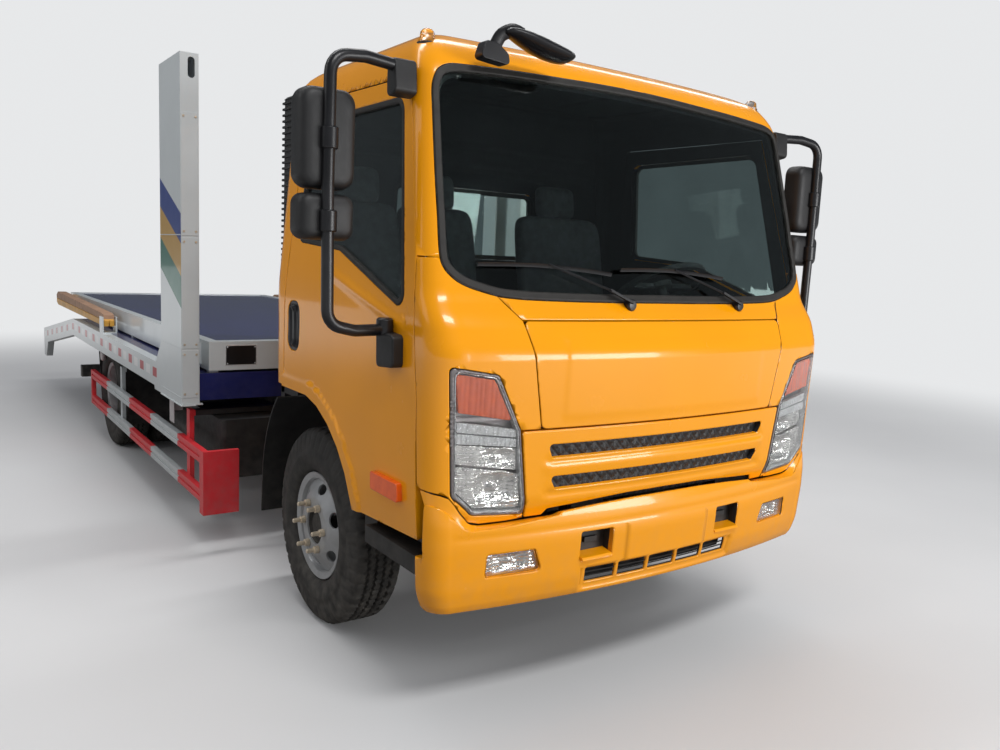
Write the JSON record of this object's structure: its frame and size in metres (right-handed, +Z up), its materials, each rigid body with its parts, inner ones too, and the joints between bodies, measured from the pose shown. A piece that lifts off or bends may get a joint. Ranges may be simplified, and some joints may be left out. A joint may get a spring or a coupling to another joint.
{
  "type": "two-deck car carrier truck",
  "caption": "Cab-over truck with a tilting, rear-sliding lower platform and a second deck that lifts in front columns to carry cars.",
  "frame": {"origin": "on the ground, under the middle of the truck's overall length and on its centre line", "axes": "+Z up, -Y forward (the cab's front faces -Y), +X to the truck's left side"},
  "size_m": [2.7, 8.204, 2.5899],
  "materials": {
    "cab_paint": "gloss",
    "chassis_paint": "satin",
    "engine_grey": "matte",
    "tank_steel": "satin",
    "black_plastic": "matte",
    "exhaust_steel": "satin",
    "guard_paint": "gloss",
    "cast_metal": "matte",
    "tyre_rubber": "matte",
    "rim_paint": "satin",
    "glass": "gloss",
    "lamp_lens": "gloss",
    "dash_plastic": "matte",
    "seat_fabric": "matte",
    "bed_blue": "gloss",
    "bed_white": "gloss",
    "chrome_rod": "gloss",
    "arm_yellow": "satin"
  },
  "bodies": {
    "chassis": {"chassis_frame": "chassis_paint", "front_axle": "chassis_paint", "rear_axle": "chassis_paint", "leaf_springs": "chassis_paint", "engine_block": "engine_grey", "propeller_shaft": "chassis_paint", "fuel_tank": "tank_steel", "air_tanks": "chassis_paint", "battery_box": "black_plastic", "silencer": "exhaust_steel", "side_guards": "guard_paint", "mudguards": "black_plastic", "rear_bumper": "chassis_paint", "air_intake": "black_plastic"},
    "knuckle_left": {"knuckle_left": "cast_metal"},
    "knuckle_right": {"knuckle_right": "cast_metal"},
    "wheel_front_left": {"tyre_front_left": "tyre_rubber", "rim_front_left": "rim_paint"},
    "wheel_front_right": {"tyre_front_right": "tyre_rubber", "rim_front_right": "rim_paint"},
    "wheel_rear_left": {"tyres_rear_left": "tyre_rubber", "rims_rear_left": "rim_paint"},
    "wheel_rear_right": {"tyres_rear_right": "tyre_rubber", "rims_rear_right": "rim_paint"},
    "cab": {"cab_shell": "cab_paint", "cab_floor": "chassis_paint", "grille_panel": "cab_paint", "cab_glass": "glass", "screen_seal": "black_plastic", "bumper": "cab_paint", "cab_lamps": "lamp_lens", "dashboard": "dash_plastic", "seats": "seat_fabric", "wipers": "black_plastic", "front_mirror": "black_plastic", "arch_liners": "black_plastic"},
    "front_flap": {"front_flap": "cab_paint"},
    "door_left": {"door_left": "cab_paint", "door_glass_left": "glass", "door_mirror_left": "black_plastic"},
    "door_right": {"door_right": "cab_paint", "door_glass_right": "glass", "door_mirror_right": "black_plastic"},
    "tilt_frame": {"tilt_frame": "bed_blue"},
    "tilt_barrels": {"tilt_barrels": "chassis_paint"},
    "tilt_rams": {"tilt_rams": "chrome_rod"},
    "platform": {"lower_deck": "bed_blue", "side_rails": "bed_white", "columns": "bed_white"},
    "upper_deck": {"upper_deck_frame": "bed_white", "upper_deck_plate": "bed_blue"},
    "support_arm_left": {"support_arm_left": "arm_yellow"},
    "support_arm_right": {"support_arm_right": "arm_yellow"}
  },
  "joints": [
    {"name": "steer_left", "type": "hinge", "parent": "chassis", "child": "knuckle_left", "pos_m": [0.7, -2.9, 0.425], "axis": [0, 0, 1], "range_deg": [-30, 30]},
    {"name": "steer_right", "type": "hinge", "parent": "chassis", "child": "knuckle_right", "pos_m": [-0.7, -2.9, 0.425], "axis": [0, 0, 1], "range_deg": [-30, 30]},
    {"name": "spin_front_left", "type": "hinge", "parent": "knuckle_left", "child": "wheel_front_left", "pos_m": [0.828, -2.9, 0.425], "axis": [1, 0, 0], "continuous": true},
    {"name": "spin_front_right", "type": "hinge", "parent": "knuckle_right", "child": "wheel_front_right", "pos_m": [-0.828, -2.9, 0.425], "axis": [1, 0, 0], "continuous": true},
    {"name": "spin_rear_left", "type": "hinge", "parent": "chassis", "child": "wheel_rear_left", "pos_m": [0.81, 0.95, 0.425], "axis": [1, 0, 0], "continuous": true},
    {"name": "spin_rear_right", "type": "hinge", "parent": "chassis", "child": "wheel_rear_right", "pos_m": [-0.81, 0.95, 0.425], "axis": [1, 0, 0], "continuous": true},
    {"name": "cab_tilt", "type": "hinge", "parent": "chassis", "child": "cab", "pos_m": [0, -3.88, 0.62], "axis": [1, 0, 0], "range_deg": [0, 45]},
    {"name": "flap_open", "type": "hinge", "parent": "cab", "child": "front_flap", "pos_m": [0, -4.013, 1.4075], "axis": [-1, 0, 0], "range_deg": [0, 60]},
    {"name": "door_left_open", "type": "hinge", "parent": "cab", "child": "door_left", "pos_m": [1.012, -3.91, 1.4], "axis": [0, 0, -1], "range_deg": [0, 70]},
    {"name": "door_right_open", "type": "hinge", "parent": "cab", "child": "door_right", "pos_m": [-1.012, -3.91, 1.4], "axis": [0, 0, 1], "range_deg": [0, 70]},
    {"name": "platform_tilt", "type": "hinge", "parent": "chassis", "child": "tilt_frame", "pos_m": [0, 2.08, 0.66], "axis": [-1, 0, 0], "range_deg": [0, 5]},
    {"name": "cylinder_swing", "type": "hinge", "parent": "chassis", "child": "tilt_barrels", "pos_m": [0, -0.9, 0.56], "axis": [1, 0, 0], "range_deg": [0, 10.05]},
    {"name": "cylinder_stroke", "type": "slide", "parent": "tilt_barrels", "child": "tilt_rams", "axis": [0, 0.9762, 0.2169], "range_m": [0, 0.07072]},
    {"name": "platform_slide", "type": "slide", "parent": "tilt_frame", "child": "platform", "axis": [0, 1, 0], "range_m": [0, 2]},
    {"name": "deck_lift", "type": "slide", "parent": "platform", "child": "upper_deck", "axis": [0, 0, 1], "range_m": [0, 1.3]},
    {"name": "arm_left_swing", "type": "hinge", "parent": "platform", "child": "support_arm_left", "pos_m": [1.098, 0.75, 1.005], "axis": [1, 0, 0], "range_deg": [0, 32.81]},
    {"name": "arm_right_swing", "type": "hinge", "parent": "platform", "child": "support_arm_right", "pos_m": [-1.098, 0.75, 1.005], "axis": [1, 0, 0], "range_deg": [0, 32.81]}
  ],
  "couplings": [
    {"joint": "steer_right", "follows": "steer_left", "ratio": 1},
    {"joint": "cylinder_swing", "follows": "platform_tilt", "ratio": 2.0073},
    {"joint": "cylinder_stroke", "follows": "platform_tilt", "m_per_rad": 0.80979},
    {"joint": "arm_left_swing", "follows": "deck_lift", "rad_per_m": 0.44032},
    {"joint": "arm_right_swing", "follows": "deck_lift", "rad_per_m": 0.44032}
  ]
}
